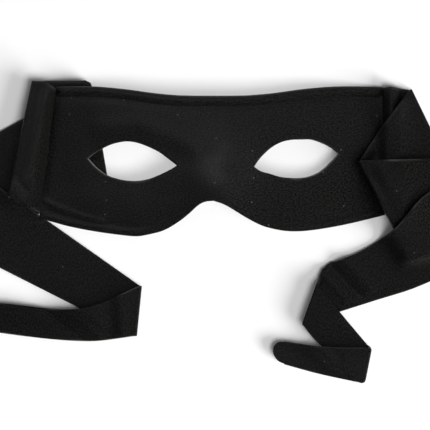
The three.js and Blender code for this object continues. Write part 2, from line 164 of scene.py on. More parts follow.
RIGHT_TIE = (
    dict(line="roll foot", run=0.0060, heading=3.4, across=-88.8, width=1.01, lift=0.35),
    dict(line="roll", run=0.0060, heading=3.4, across=-88.6, width=1.01, lift=0.5),
    dict(line="foot", run=0.0198, heading=6.1, across=-84.7, width=0.95),
    dict(line="outer fold", run=0.0438, heading=18.7, across=-64.1, width=0.86, fold=True, laid=1),
    dict(line="temple", run=0.0616, heading=-128.0, across=-63.0, width=0.86),
    dict(line="inner fold", run=0.0638, heading=-126.5, across=-62.2, width=0.83, fold=True, laid=2,
         lift_b=0.35, air=0.2, drape=20),
    dict(line="wide", run=0.0863, heading=6.5, across=-73.4, width=0.67),
    # This panel's edges show all of the pale fibres, here also a painted highlight along its top edge.
    dict(line="far fold", run=0.1106, heading=7.7, across=-72.0, width=0.54, fold=True, laid=3, fray_and_edge_highlight=1.0),
    dict(line="shoulder", run=0.1251, heading=-153.3, across=-66.0, width=0.57),
    dict(line="slope", run=0.0651, heading=-144.0, across=-69.7, width=0.40, lift=0.1),
    dict(line="valley", run=0.0585, heading=-154.4, across=-75.3, width=0.29, lift=0.2),
    dict(line="low fold", run=0.0838, heading=-162.7, across=-109.9, width=0.39, fold=True, laid=4,
         lift=0.2, round_a=4.5, tuck_a=0.33, round_b=1.1, air=0.25, drape=60),
    dict(line="band", run=0.0462, heading=-63.8, across=-125.4, width=0.16, lift=0.35),
    dict(line="last fold", run=0.0864, heading=-44.3, across=-101.3, width=0.14, fold=True, laid=5,
         lift=0.3, round_a=1.3, round_b=1.6),
    dict(line="strap", run=0.0679, heading=173.2, across=-98.3, width=0.06, lift=0.4),
    dict(line="tip", run=0.0693, heading=168.6, across=-90.0, width=0.00, lift=0.45, laid=6),
)

# Painted sheen and painted shade in the cloth's gloss: above 0 a painted highlight, partly where the nap is
# pressed smooth, and below 0 painted shade in a hollow. By the piece: how much, how far it reaches to each
# side and the path that it follows, seen from above as for the creases.
NAP_AND_PAINTED_SHEEN = {
    "front": (
        dict(press_and_painted_sheen=1.0, reach=12.0, path=((NOSE_ASIDE, -7.0), (NOSE_ASIDE + 6.0, -1.0))),
        dict(press_and_painted_sheen=0.6, reach=8.0, path=((7.0, -9.0), (12.0, -5.0))),
        dict(press_and_painted_sheen=-0.3, reach=10.0, path=((30.0, -22.0), (60.0, -14.0))),
        dict(press_and_painted_sheen=-0.9, reach=2.8, path=((67.0, 3.0), (64.0, -1.5), (68.2, -11.0), (73.0, -23.0))),
        dict(press_and_painted_sheen=-1.0, reach=2.4, path=((-69.8, 28.8), (-72.6, 3.3), (-75.3, -13.3))),
    ),
    "left_tie": (
        dict(press_and_painted_sheen=0.9, reach=4.2, path=((-75.9, 28.8), (-79.2, 6.7), (-82.0, -10.0))),
        dict(press_and_painted_sheen=-0.6, reach=9.0, path=((-110.0, -68.0), (-66.0, -72.0))),
    ),
    "right_tie": (
        dict(press_and_painted_sheen=-0.4, reach=12.0, path=((76.0, 4.0), (96.0, -4.0))),
        dict(press_and_painted_sheen=0.5, reach=7.0, path=((28.0, -86.0), (66.0, -95.0))),
    ),
}

# Soft ridges and valleys that run across the cloth, by the side and the line that the panel ends at: their
# height and width, and the path that they follow seen from above, from the middle of the front's eye line.
CREASES = {
    "front": (
        dict(height=0.65, width=4.2, path=((-50.4, 14.6), (-33.5, 15.1), (-19.3, 10.7), (-6.9, 3.1))),
        dict(height=0.5, width=3.6, path=((6.9, 3.1), (18.9, 10.7), (38.4, 14.6), (53.9, 14.2))),
        dict(height=0.7, width=1.2, path=((-76.1, -17.8), (-68.1, -21.3), (-58.4, -24.9), (-48.6, -27.5))),
    ),
    "left outer fold": (
        dict(height=1.3, width=3.2, path=((-73.5, 30.0), (-77.8, 10.0), (-82.5, -9.0))),
        dict(height=-0.35, width=0.9, path=((-89.4, -4.9), (-84.1, -11.5), (-80.1, -16.9), (-77.9, -20.4))),
        dict(height=0.5, width=3.2, path=((-89.4, -12.0), (-85.0, -16.0), (-80.1, -20.0))),
    ),
    "left hidden fold": (
        dict(height=0.5, width=0.9, path=((-78.8, 33.4), (-68.1, 34.4), (-57.5, 34.2))),
    ),
    "left tip": (
        dict(height=-1.2, width=2.8, path=((-47.2, -60.0), (-46.4, -67.5), (-45.0, -78.6))),
        dict(height=0.9, width=2.4, path=((-41.0, -57.7), (-40.6, -66.6), (-40.1, -76.8))),
        dict(height=-0.8, width=1.7, path=((-76.1, -64.8), (-71.7, -69.2), (-64.6, -74.6), (-58.4, -79.4))),
        dict(height=0.8, width=1.7, path=((-70.8, -63.5), (-64.6, -67.5), (-57.5, -72.3), (-50.8, -78.1))),
    ),
    "right outer fold": (
        dict(height=-1.0, width=1.2, path=((82.8, 30.2), (83.2, 25.7))),
    ),
    "right inner fold": (
        dict(height=0.6, width=1.9, path=((85.4, 25.7), (79.7, 18.2), (71.7, 7.5), (66.8, 0.9))),
        dict(height=-0.7, width=1.8, path=((70.3, 1.8), (82.8, 2.7), (96.1, 4.0))),
    ),
    "right far fold": (
        dict(height=-0.8, width=2.8, path=((70.3, -8.0), (75.2, -16.4), (79.2, -24.9))),
        dict(height=0.6, width=3.0, path=((73.9, -3.6), (81.0, -13.3), (86.3, -20.4))),
    ),
    "right low fold": (
        dict(height=-1.3, width=2.0, path=((50.5, -45.2), (55.8, -51.0), (63.8, -59.5))),
        dict(height=1.0, width=2.4, path=((57.1, -43.4), (62.5, -49.1), (69.1, -56.2))),
        dict(height=0.7, width=2.0, path=((47.2, -48.5), (52.0, -54.0), (58.8, -61.6))),
    ),
    "right last fold": (
        dict(height=0.5, width=2.0, path=((39.3, -70.1), (46.4, -62.1), (49.9, -54.1))),
    ),
    "right tip": (
        dict(height=-0.7, width=2.2, path=((51.7, -82.5), (55.3, -87.0), (56.1, -95.0))),
    ),
}

# How finely the cloth is divided, in millimetres and counts, how far round a free edge its rows stand, and
# how often laid cloth is smoothed
FRONT_STEP = 0.9
EVEN_RINGS = 20
RIM_RINGS = 14
TIE_STEP = 1.1
TIE_COLUMNS = 44
FOLD_STEPS = 9
TIP_STEPS = 12
EDGE_TURN = np.radians([0, 25, 50, 70])
PILE_CELL = 0.5
PILE_REACH = 2.0
PILE_MARGIN = 60.0
DRAPE_PASSES = 120


# Shared arithmetic

def smoothstep(value, low, high):
    """0 below low, 1 above high and a smooth rise between."""
    share = np.clip((value - low) / (high - low), 0, 1)
    return share * share * (3 - 2 * share)


def bell(distance, spread):
    """A bell of height 1 at 0 that falls away over the given spread."""
    return np.exp(-((distance / spread) ** 2))


def from_table(table, key, column, at):
    """A smooth value read from a table's column, where its key column reads at."""
    names = table[0]
    rows = np.array(table[1:])
    x = rows[:, names.index(key)]
    y = rows[:, names.index(column)]
    at = np.asarray(at, float)
    i = np.clip(np.searchsorted(x, at, side="right") - 1, 0, len(x) - 2)
    before = np.maximum(i - 1, 0)
    after = np.minimum(i + 2, len(x) - 1)
    span = x[i + 1] - x[i]
    rise = y[i + 1] - y[i]
    slope_here = (y[i + 1] - y[before]) / (x[i + 1] - x[before])
    slope_there = (y[after] - y[i]) / (x[after] - x[i])
    t = np.clip((at - x[i]) / span, 0, 1)
    bend = t * (1 - t) * ((1 - t) * (slope_here * span - rise) - t * (slope_there * span - rise))
    return y[i] + t * rise + bend


def heading(degrees):
    """The direction of a heading in the plane."""
    return np.array([math.cos(math.radians(degrees)), math.sin(math.radians(degrees))])


def ripple(x, y, length, seed):
    """Soft irregular waves of about the given length and a height near 1."""
    rng = np.random.default_rng(seed)
    total = np.zeros_like(np.asarray(x, float))
    for _ in range(7):
        angle = rng.uniform(0, math.pi)
        wave = 2 * math.pi / (length * rng.uniform(0.7, 1.6))
        phase = rng.uniform(0, 2 * math.pi)
        total += np.sin(wave * (x * math.cos(angle) + y * math.sin(angle)) + phase)
    return total / 3.5


def distance_to(path, x, y):
    """The distance from each place to a path of straight stretches."""
    nearest = np.full(np.shape(x), np.inf)
    for (x0, y0), (x1, y1) in zip(path, path[1:]):
        run = x1 - x0
        rise = y1 - y0
        along = np.clip(((x - x0) * run + (y - y0) * rise) / (run ** 2 + rise ** 2), 0, 1)
        nearest = np.minimum(nearest, np.hypot(x - x0 - along * run, y - y0 - along * rise))
    return nearest


def crease_height(creases, x, y):
    """What a panel's ridges and valleys add to its height."""
    total = np.zeros(np.shape(x))
    for crease in creases:
        total += crease["height"] * bell(distance_to(crease["path"], x, y), crease["width"])
    return total


# The front's outline and the height of its cloth

def top_edge(x):
    return MASK_HEIGHT * from_table(EDGES, "out", "top", np.abs(x) / HALF_WIDTH)


def low_edge(x):
    out = np.abs(x) / HALF_WIDTH
    left = from_table(EDGES, "out", "low_left", out)
    right = from_table(EDGES, "out", "low_right", out)
    return MASK_HEIGHT * np.where(np.asarray(x) < 0, left, right)


def seam_centre(side):
    return np.array([side["sign"] * side["seam_out"] * HALF_WIDTH, side["seam_up"] * MASK_HEIGHT])


def seam_x(side, y):
    """Where the seam line stands at a height."""
    centre = seam_centre(side)
    return centre[0] + side["seam_lean"] * (y - centre[1])


def end_x(side, y):
    """Where the front's end edge stands: it bows out beyond the seam by a lap that lies under the tie."""
    up = (y - seam_centre(side)[1]) / (TIE_ROOT_WIDTH / 2)
    return seam_x(side, y) + side["sign"] * SEAM_LAP * np.maximum(0, 1 - up ** 4)


def lid(side, upper, along):
    """Points on the upper or lower lid, at shares of the way from the inner corner to the outer one."""
    name = ("left" if side["sign"] < 0 else "right") + ("_above" if upper else "_below")
    height = EYE_HEIGHT * from_table(LIDS, "along", name, along) * (1 if upper else -1)
    tilt = math.radians(side["eye_tilt"])
    reach = np.asarray(along) * EYE_WIDTH * side["eye_long"]
    x = side["sign"] * (side["eye_out"] * EYE_SPACING + reach * math.cos(tilt))
    y = side["eye_up"] * MASK_HEIGHT + reach * math.sin(tilt) + height
    return np.stack([x, y], axis=-1)


def eye_centre(side):
    return (lid(side, True, 0.0) + lid(side, True, 1.0)) / 2


def rolled_edge(distance, width, height):
    """A half-round ridge along an edge, with a shallow groove behind it."""
    ridge = height * np.sin(np.pi * np.clip(distance / width, 0, 1))
    groove = -0.28 * height * bell(distance - 1.3 * width, 0.4 * width)
    return np.where(distance < width, ridge, groove)


def end_height(x):
    """The left end lies on two layers of its tie, and the right end on the table."""
    return np.clip(0.5 - x / MASK_WIDTH, 0, 1) * 2 * (TIE_CLOTH + LAYER_GAP)


def front_height(x, y):
    """The height of the middle of the front's cloth.

    It arches from end to end and a little from edge to edge. The bridge rises from the brow down to the lower
    edge, and round each eye the cloth is pressed in. A rim, a lip and soft slack lie on top, but not by the
    seams, where the ties hold the cloth flat.
    """
    out = np.abs(x) / HALF_WIDTH
    middle = (top_edge(x) + low_edge(x)) / 2
    up = (y - middle) / (top_edge(x) - middle)
    arch = CROWN_HEIGHT * np.maximum(0, 1 - out ** 2.4) ** 1.3 * (1 - 0.25 * up ** 2)
    brow_fall = smoothstep(-y, -0.34 * MASK_HEIGHT, 0.2 * MASK_HEIGHT)
    bridge = (brow_fall + smoothstep(-y, -0.06 * MASK_HEIGHT, 0.22 * MASK_HEIGHT)) / 2
    nose = NOSE_HEIGHT * bridge * bell(x - NOSE_ASIDE, NOSE_WIDTH / 2)
    socket = 0
    for side in SIDES.values():
        centre = eye_centre(side)
        across = bell(x - centre[0], 0.6 * EYE_WIDTH)
        socket = socket + SOCKET_DEPTH * across * bell(y - centre[1], 0.9 * EYE_HEIGHT)
    inside = np.where(np.asarray(x) < 0, x - seam_x(SIDES["left"], y), seam_x(SIDES["right"], y) - x)
    flat = smoothstep(inside, 0, SEAM_LAP)
    rim = flat * rolled_edge(top_edge(x) - y, RIM_WIDTH, RIM_HEIGHT)
    fade = flat * smoothstep(out, 0.25, 0.6)
    lip = fade * rolled_edge(y - low_edge(x), LIP_WIDTH, LIP_HEIGHT)
    slack = flat * (crease_height(CREASES["front"], x, y) + SLACK_HEIGHT * ripple(x, y, SLACK_LENGTH, 3))
    seat = end_height(x) + MASK_CLOTH / 2
    return np.maximum(seat, seat + arch + nose - socket + rim + lip + slack)


# A sheet is a grid, or several welded grids, of points on the middle of the cloth. Each point has half the
# cloth's thickness there, which falls to nothing at a free edge in a quarter round.

def edge_depths(cloth):
    """Distances in from a free edge at which its rounding is drawn."""
    return cloth / 2 * (1 - np.cos(EDGE_TURN))


def rounded(distance, cloth):
    """Half the cloth's thickness at a distance in from a free edge."""
    share = np.clip(distance / (cloth / 2), 0, 1)
    return cloth / 2 * np.sqrt(1 - (1 - share) ** 2)


def rail(start, edge, step, cloth):
    """Heights from start to an edge: even steps, finer steps through the rim, then the edge's rounding."""
    inward = math.copysign(1, start - edge)
    rim_end = edge + inward * 2 * RIM_WIDTH
    even = np.linspace(start, rim_end, max(2, round(abs(rim_end - start) / step)), endpoint=False)
    round_off = edge + inward * edge_depths(cloth)[::-1]
    rim = np.linspace(rim_end, round_off[0], round(2 * RIM_WIDTH / (0.6 * step)), endpoint=False)
    return np.concatenate([even, rim, round_off])


def half_outline(side, upper):
    """The outline above or below an eye, from the middle line out along an edge and back along the end."""
    edge = top_edge if upper else low_edge
    corner_y = float(edge(side["sign"] * HALF_WIDTH))
    corner_x = float(end_x(side, corner_y))
    corner_y = float(edge(corner_x))
    nose_y = rail(SIDES["left"]["eye_up"] * MASK_HEIGHT, float(edge(0.0)), FRONT_STEP, MASK_CLOTH)
    end_y = rail(float(lid(side, True, 1.0)[1]), corner_y, FRONT_STEP, MASK_CLOTH)[::-1]
    steps = round(abs(corner_x) / FRONT_STEP)
    x = corner_x * np.arange(1, steps) / steps
    along_edge = np.stack([x, edge(x)], axis=1)
    along_end = np.stack([end_x(side, end_y), end_y], axis=1)
    along_end[0, 0] = corner_x
    along_nose = np.stack([np.zeros_like(nose_y), nose_y], axis=1)
    return np.concatenate([along_nose, along_edge, along_end])


def ring_shares(depth):
    """Shares of the way out from a lid to the outline, for a spoke that is as deep as given."""
    depths = edge_depths(MASK_CLOTH)
    lid_side = depths / depth
    rim = 1 - np.linspace(2 * RIM_WIDTH, depths[-1], RIM_RINGS, endpoint=False) / depth
    edge_side = 1 - depths[::-1] / depth
    even = np.linspace(lid_side[-1], rim[0], EVEN_RINGS)[1:-1]
    return np.concatenate([lid_side, even, rim, edge_side])


def front_strip(side, upper):
    """One strip of the front, from a lid out to the outline: its points, half thicknesses and pale edge
    fibres, partly a painted highlight.
    """
    outline = half_outline(side, upper)
    shares = np.linspace(0, 1, len(outline))
    inner = lid(side, upper, shares)
    rows = []
    for outer, start in zip(outline, inner):
        reach = np.hypot(*(outer - start))
        depth = max(abs(outer[1] - start[1]), reach / 2)
        rows.append(start + (outer - start) * ring_shares(depth)[:, None])
    flat = np.array(rows)
    x, y = flat[..., 0], flat[..., 1]
    points = np.stack([x, y, front_height(x, y)], axis=-1)
    end = side["sign"] * (end_x(side, y) - x)
    depth = np.minimum(np.minimum(top_edge(x) - y, y - low_edge(x)), end)
    half = rounded(depth, MASK_CLOTH)
    lid_depth = np.linalg.norm(flat - flat[:, :1], axis=-1)
    half = np.minimum(half, rounded(lid_depth, MASK_CLOTH))
    # Pale fibres along the eye holes' cut edges, partly a painted highlight: all of them on the lower lids, a
    # share on the upper lids.
    fray_and_edge_highlight = np.clip(1 - lid_depth / FRAY_AND_HIGHLIGHT_WIDTH, 0, 1) * (FRAY_AND_HIGHLIGHT_SHARE if upper else 1)
    if upper == (side["sign"] > 0):
        points, half, fray_and_edge_highlight = points[::-1], half[::-1], fray_and_edge_highlight[::-1]
    return points, half, fray_and_edge_highlight


# The pile: how high the cloth already stands, in square cells

class Pile:
    def __init__(self):
        reach = TIE_LENGTH + PILE_MARGIN
        self.low = -reach / 2 - PILE_MARGIN
        self.count = round((reach + 2 * PILE_MARGIN) / PILE_CELL)
        self.top = np.zeros((self.count, self.count))

    def cell(self, values):
        return np.clip(((values - self.low) / PILE_CELL).astype(int), 0, self.count - 1)

    def add(self, points, cloth):
        """Adds a grid of points, filled in between so that no cell is missed."""
        fine = np.array([0, 0.25, 0.5, 0.75])
        for u in fine:
            for v in fine:
                a = points[:-1, :-1] * (1 - u) + points[1:, :-1] * u
                b = points[:-1, 1:] * (1 - u) + points[1:, 1:] * u
                spot = (a * (1 - v) + b * v).reshape(-1, 3)
                place = (self.cell(spot[:, 0]), self.cell(spot[:, 1]))
                np.maximum.at(self.top, place, spot[:, 2] + cloth / 2)

    def spread(self):
        """The highest cloth within reach of each cell."""
        cells = round(PILE_REACH / PILE_CELL)
        wide = np.zeros_like(self.top)
        for i in range(-cells, cells + 1):
            for j in range(-cells, cells + 1):
                if math.hypot(i, j) <= cells:
                    wide = np.maximum(wide, np.roll(self.top, (i, j), axis=(0, 1)))
        return wide

    def rest(self, x, y, cloth):
        """The lowest height at which the middle of the next layer clears what lies near each place."""
        top = self.spread()[self.cell(x), self.cell(y)]
        return np.where(top > 0, top + LAYER_GAP + cloth / 2, cloth / 2)


# The ties

def tie_lines(side, rows):
    """The two ends of each line across a tie, seen from above."""
    centre = seam_centre(side)
    down = np.array([-side["seam_lean"], -1.0])
    down = down / np.hypot(*down) * TIE_ROOT_WIDTH / 2
    lines = [dict(line="seam", lift=0, a=centre - down, b=centre + down)]
    for row in rows:
        centre = centre + heading(row["heading"]) * row["run"] * TIE_LENGTH
        width = TIE_TIP_WIDTH + (TIE_ROOT_WIDTH - TIE_TIP_WIDTH) * row["width"]
        half = heading(row["across"]) * width / 2
        lines.append(dict(lift=0) | row | dict(a=centre - half, b=centre + half))
    return lines


def drawn_back(line, towards):
    """A fold's line, drawn back towards a panel's cloth to leave room for the turn."""
    along = line["b"] - line["a"]
    inward = np.array([-along[1], along[0]]) / np.hypot(*along)
    if inward @ (towards["a"] + towards["b"] - line["a"] - line["b"]) < 0:
        inward = -inward
    shift = inward * (TIE_CLOTH + LAYER_GAP / 2)
    return line | dict(a=line["a"] + shift, b=line["b"] + shift)


def tie_panel(side, lines, ending):
    """A panel with how it is laid, which its last line tells, and the creases that cross it."""
    return dict(lines=lines, laid=ending["laid"], air=ending.get("air", AIR),
                drape=ending.get("drape", DRAPE_PASSES), fray_and_edge_highlight=ending.get("fray_and_edge_highlight", FRAY_AND_HIGHLIGHT_SHARE),
                creases=CREASES.get(side + " " + ending["line"], ()))


def tie_panels(side, lines):
    """A tie's lines cut into panels, each from one fold to the next."""
    panels = []
    current = [lines[0]]
    folded = False
    for line in lines[1:]:
        if folded and len(current) == 1:
            current[0] = drawn_back(current[0], line)
        if line.get("fold"):
            panels.append(tie_panel(side, current + [drawn_back(line, current[-1])], line))
            tucked = line["a"] + line.get("tuck_a", 0) * (line["b"] - line["a"])
            current = [line | dict(a=tucked, round_a=0 if "tuck_a" in line else line.get("round_a", 0))]
            folded = True
        else:
            current.append(line)
    panels.append(tie_panel(side, current, current[-1]))
    return panels


def smooth_curve(points, at):
    """A smooth curve through points, at shares of its run, with even weight on short and long stretches."""
    spot = (len(points) - 1) * at
    i = np.minimum(spot.astype(int), len(points) - 2)
    w = (spot - i)[:, None]
    padded = np.concatenate([[2 * points[0] - points[1]], points, [2 * points[-1] - points[-2]]])
    p0, p1, p2, p3 = (padded[i + k] for k in range(4))
    pairs = ((p0, p1), (p1, p2), (p2, p3))
    d0, d1, d2 = (np.sqrt(np.linalg.norm(q - p, axis=1, keepdims=True)) for p, q in pairs)
    t1 = ((p1 - p0) / d0 - (p2 - p0) / (d0 + d1) + (p2 - p1) / d1) * d1
    t2 = ((p2 - p1) / d1 - (p3 - p1) / (d1 + d2) + (p3 - p2) / d2) * d1
    return (p1 + w * t1 + w ** 2 * (3 * (p2 - p1) - 2 * t1 - t2) + w ** 3 * (2 * (p1 - p2) + t1 + t2))


def fill_panel(panel):
    """Fills a panel with rows of points. Their height is what the roll adds."""
    lines = panel["lines"]
    at = [0.0]
    for i, (here, there) in enumerate(zip(lines, lines[1:])):
        length = max(np.hypot(*(there[end] - here[end])) for end in "ab")
        steps = max(4, round(length / TIE_STEP))
        at += [(i + k / steps) / (len(lines) - 1) for k in range(1, steps + 1)]
    ends = [np.array([[*line[end], line.get("lift_" + end, line["lift"]) * ROLL_HEIGHT] for line in lines])
            for end in "ab"]
    a, b = (smooth_curve(end, np.array(at)) for end in ends)
    across = np.linspace(0, 1, TIE_COLUMNS + 1)[None, :, None]
    panel["points"] = a[:, None] * (1 - across) + b[:, None] * across
    for line, towards in ((lines[0], lines[1]), (lines[-1], lines[-2])):
        for end, other in ("ab", "ba"):
            if line.get("round_" + end):
                round_corner(panel["points"], line[end], line[other], towards[end], line["round_" + end])


def round_corner(points, corner, other, towards, radius):
    """Draws the cloth in around a corner, worked out along the fold and along the free edge beside it."""
    beyond = towards - corner
    along = (other - corner) / np.hypot(*(other - corner))
    inward = beyond / np.hypot(*beyond)
    shares = (points[..., :2] - corner) @ np.linalg.inv(np.array([along, inward]))
    beside = radius - np.clip(shares[..., 0], 0, radius)
    drawn = radius - np.sqrt(radius ** 2 - beside ** 2)
    fade = np.clip(1 - shares[..., 1] / (2.5 * radius), 0, 1) ** 2
    points[..., :2] += (drawn * fade)[..., None] * inward


def lay(panel, pile, sewn):
    """Lays a panel on the pile and smooths it, so that it slopes down where a layer under it ends."""
    points = panel["points"]
    x, y, lift = points[..., 0], points[..., 1], points[..., 2]
    rest = pile.rest(x, y, TIE_CLOTH)
    loose = np.ones_like(x)
    if sewn:
        loose = smoothstep(np.hypot(x - x[0], y - y[0]), 0, HELD_LENGTH)
        rest[0] = front_height(x[0], y[0]) + MASK_CLOTH / 2 + SEAM_GAP + TIE_CLOTH / 2
    lowest = rest + lift + panel["air"] * loose
    height = lowest.copy()
    for _ in range(panel["drape"]):
        padded = np.pad(height, 1, mode="edge")
        mean = (padded[2:, 1:-1] + padded[:-2, 1:-1] + padded[1:-1, 2:] + padded[1:-1, :-2]) / 4
        height = np.maximum(lowest, (height + mean) / 2)
        if sewn:
            height[0] = lowest[0]
    shape = crease_height(panel["creases"], x, y) + WAVE_HEIGHT * ripple(x, y, WAVE_LENGTH, panel["laid"])
    points[..., 2] = np.maximum(rest, height + loose * shape)
    pile.add(points, TIE_CLOTH)


def round_tip(points):
    """Rounds a tie's end. Gives the rows kept, the tip's own rows and how far they are from the free edge."""
    last, before = points[-1], points[-2]
    centre = (last[0] + last[-1]) / 2
    radius = np.linalg.norm(last[-1] - last[0]) / 2
    ahead = centre - (before[0] + before[-1]) / 2
    ahead = ahead / np.linalg.norm(ahead)
    behind = np.linalg.norm((points[:, 0] + points[:, -1]) / 2 - centre, axis=1)
    kept = points[behind > radius + 0.4 * TIE_STEP]
    share = (last - centre) / radius
    e = np.linspace(-1, 1, len(last))
    rows, depths = [], []
    for turn in np.linspace(0, math.radians(88), TIP_STEPS + 1):
        rows.append(centre + ahead * radius * (math.sin(turn) - 1) + share * radius * math.cos(turn))
        depths.append(radius * (1 - np.sqrt(math.sin(turn) ** 2 + (e * math.cos(turn)) ** 2)))
    return kept, np.array(rows), np.array(depths)


def fold_rows(ending, starting):
    """The rows that carry the cloth round a fold, from one panel's last row to the next one's first."""
    along = starting[0, -1] - starting[0, 0]
    outward = np.array([-along[1], along[0], 0])
    outward = outward / np.linalg.norm(outward)
    if outward @ (ending[-1, 0] - ending[-2, 0]) < 0:
        outward = -outward
    reach = TIE_CLOTH / 2 + LAYER_GAP / 2
    rows = []
    for turn in np.linspace(0, math.pi, FOLD_STEPS + 1)[1:-1]:
        share = (1 - math.cos(turn)) / 2
        rows.append(ending[-1] * (1 - share) + starting[0] * share + outward * reach * math.sin(turn))
    return np.array(rows)


def tie_sheet(panels):
    """The whole tie as one grid, with each point's half thickness, place on the flat cloth and pale edge
    fibres, partly a painted highlight.
    """
    panels[-1]["points"], tip, tip_depth = round_tip(panels[-1]["points"])
    grids = [panels[0]["points"]]
    cut = [np.full(len(grids[0]), panels[0]["fray_and_edge_highlight"])]
    for before, after in zip(panels, panels[1:]):
        turn = fold_rows(before["points"], after["points"])
        grids += [turn, after["points"]]
        cut += [np.zeros(len(turn)), np.full(len(after["points"]), after["fray_and_edge_highlight"])]
    grids.append(tip)
    cut = np.concatenate(cut + [np.zeros(len(tip))])
    core = np.concatenate(grids)
    first = edge_depths(TIE_CLOTH)
    gap = np.linalg.norm(core[1] - core[0], axis=-1).mean()
    extra = [core[0] * (1 - d / gap) + core[1] * d / gap for d in first[1:]]
    core = np.concatenate([core[:1], extra, core[1:]])
    cut = np.concatenate([np.zeros(len(extra)), cut])
    width = np.linalg.norm(np.diff(core, axis=1), axis=-1).sum(axis=1)
    steps = np.linalg.norm(np.diff(core[:, TIE_COLUMNS // 2], axis=0), axis=-1)
    along = np.concatenate([[0], np.cumsum(steps)])
    start_depth = np.repeat(along[:, None], TIE_COLUMNS + 1, axis=1)
    start_depth[-len(tip):] = np.minimum(start_depth[-len(tip):], tip_depth)
    place = np.linspace(0, 1, TIE_COLUMNS + 1)
    points, half, flat, fray_and_edge_highlight = [], [], [], []
    for row, wide, length, depth, shows in zip(core, width, along, start_depth, cut):
        near = np.minimum(edge_depths(TIE_CLOTH) / wide, 0.45)
        middle = np.linspace(near[-1], 1 - near[-1], TIE_COLUMNS + 1)[1:-1]
        share = np.concatenate([near, middle, 1 - near[::-1]])
        points.append(np.stack([np.interp(share, place, row[:, k]) for k in range(3)], axis=-1))
        side_depth = np.minimum(share, 1 - share) * wide
        half.append(rounded(np.minimum(side_depth, np.interp(share, place, depth)), TIE_CLOTH))
        flat.append(np.stack([(share - 0.5) * wide, np.full_like(share, length)], axis=-1))
        # Pale fibres along the free edges, partly a painted highlight along the edge.
        fray_and_edge_highlight.append(shows * np.clip(1 - side_depth / FRAY_AND_HIGHLIGHT_WIDTH, 0, 1))
    return np.array(points), np.array(half), np.array(flat), np.array(fray_and_edge_highlight)


# Making a mesh of a sheet

def grid_faces(rows, columns, first):
    index = first + np.arange(rows * columns).reshape(rows, columns)
    corners = (index[:-1, :-1], index[1:, :-1], index[1:, 1:], index[:-1, 1:])
    return np.stack([corner.ravel() for corner in corners], axis=1)


def weld(points):
    """Numbers the points so that points in one place share a number."""
    _, first, number = np.unique(np.round(points, 4), axis=0, return_index=True, return_inverse=True)
    return first, number.ravel()


def cloth_mesh(name, grids, shift):
    """A closed piece of cloth from grids of points with their half thickness, flat place and pale edge
    fibres, partly a painted highlight.
    """
    points = np.concatenate([g[0].reshape(-1, 3) for g in grids])
    half = np.concatenate([g[1].ravel() for g in grids])
    flat = np.concatenate([g[2].reshape(-1, 2) for g in grids])
    fray_and_edge_highlight = np.concatenate([g[3].ravel() for g in grids])
    faces, start = [], 0
    for g in grids:
        faces.append(grid_faces(*g[1].shape, start))
        start += g[1].size
    first, number = weld(points)
    faces = number[np.concatenate(faces)]
    points, half, flat, fray_and_edge_highlight = points[first], half[first], flat[first], fray_and_edge_highlight[first]
    normal = np.zeros_like(points)
    cross = np.cross(points[faces[:, 2]] - points[faces[:, 0]], points[faces[:, 3]] - points[faces[:, 1]])
    for corner in range(4):
        np.add.at(normal, faces[:, corner], cross)
    normal /= np.maximum(np.linalg.norm(normal, axis=1, keepdims=True), 1e-12)
    count = len(points)
    free = half < 1e-6
    below = np.where(free, np.arange(count), count + np.arange(count))
    vertices = np.concatenate([points + normal * half[:, None], points - normal * half[:, None]])
    quads = np.concatenate([faces, below[faces[:, ::-1]]])
    mesh = bpy.data.meshes.new(name)
    mesh.from_pydata(((vertices + shift) * MM).tolist(), [], clean_faces(quads))
    # The pale edge fibres, partly a painted highlight, and the painted sheen and shade of the nap
    mark_cloth(mesh, flat, fray_and_edge_highlight, nap_and_painted_sheen(NAP_AND_PAINTED_SHEEN[name], points))
    piece = bpy.data.objects.new(name, mesh)
    bpy.context.collection.objects.link(piece)
    tidy_mesh(piece)
    return piece


def nap_and_painted_sheen(spots, points):
    """Painted sheen and painted shade at each point, partly real smoothed nap: above 0 the gloss rises, and
    below 0 it falls.
    """
    pressed_and_painted_sheen = np.zeros(len(points))
    for spot in spots:
        pressed_and_painted_sheen += spot["press_and_painted_sheen"] * bell(distance_to(spot["path"], points[:, 0], points[:, 1]), spot["reach"])
    return pressed_and_painted_sheen


def mark_cloth(mesh, flat, fray_and_edge_highlight, pressed_and_painted_sheen):
    """Writes what the finishes read, for the upper face's points and then the lower face's."""
    place = mesh.uv_layers.new(name="flat cloth")
    loops = np.zeros(len(mesh.loops), dtype=np.int32)
    mesh.loops.foreach_get("vertex_index", loops)
    place.data.foreach_set("uv", (np.concatenate([flat, flat])[loops] * MM).ravel())
    for label, values in (("fray_and_edge_highlight", fray_and_edge_highlight), ("pressed_and_painted_sheen", pressed_and_painted_sheen)):
        written = mesh.attributes.new(label, "FLOAT", "POINT")
        written.data.foreach_set("value", np.concatenate([values, values]))


def clean_faces(quads):
    """Faces without repeated corners."""
    kept = []
    for quad in quads.tolist():
        corners = [corner for k, corner in enumerate(quad) if corner != quad[k - 1]]
        if len(set(corners)) == len(corners) and len(corners) > 2:
            kept.append(corners)
    return kept


def tidy_mesh(piece):
    """Removes unused points, turns the faces outward and shades them smooth."""
    bpy.ops.object.select_all(action="DESELECT")
    bpy.context.view_layer.objects.active = piece
    piece.select_set(True)
    bpy.ops.object.mode_set(mode="EDIT")
    bpy.ops.mesh.select_all(action="SELECT")
    bpy.ops.mesh.delete_loose()
    bpy.ops.mesh.select_all(action="SELECT")
    bpy.ops.mesh.normals_make_consistent(inside=False)
    bpy.ops.object.mode_set(mode="OBJECT")
    bpy.ops.object.shade_smooth()
    piece.select_set(False)


# Building the three pieces, in the order in which the cloth was laid down

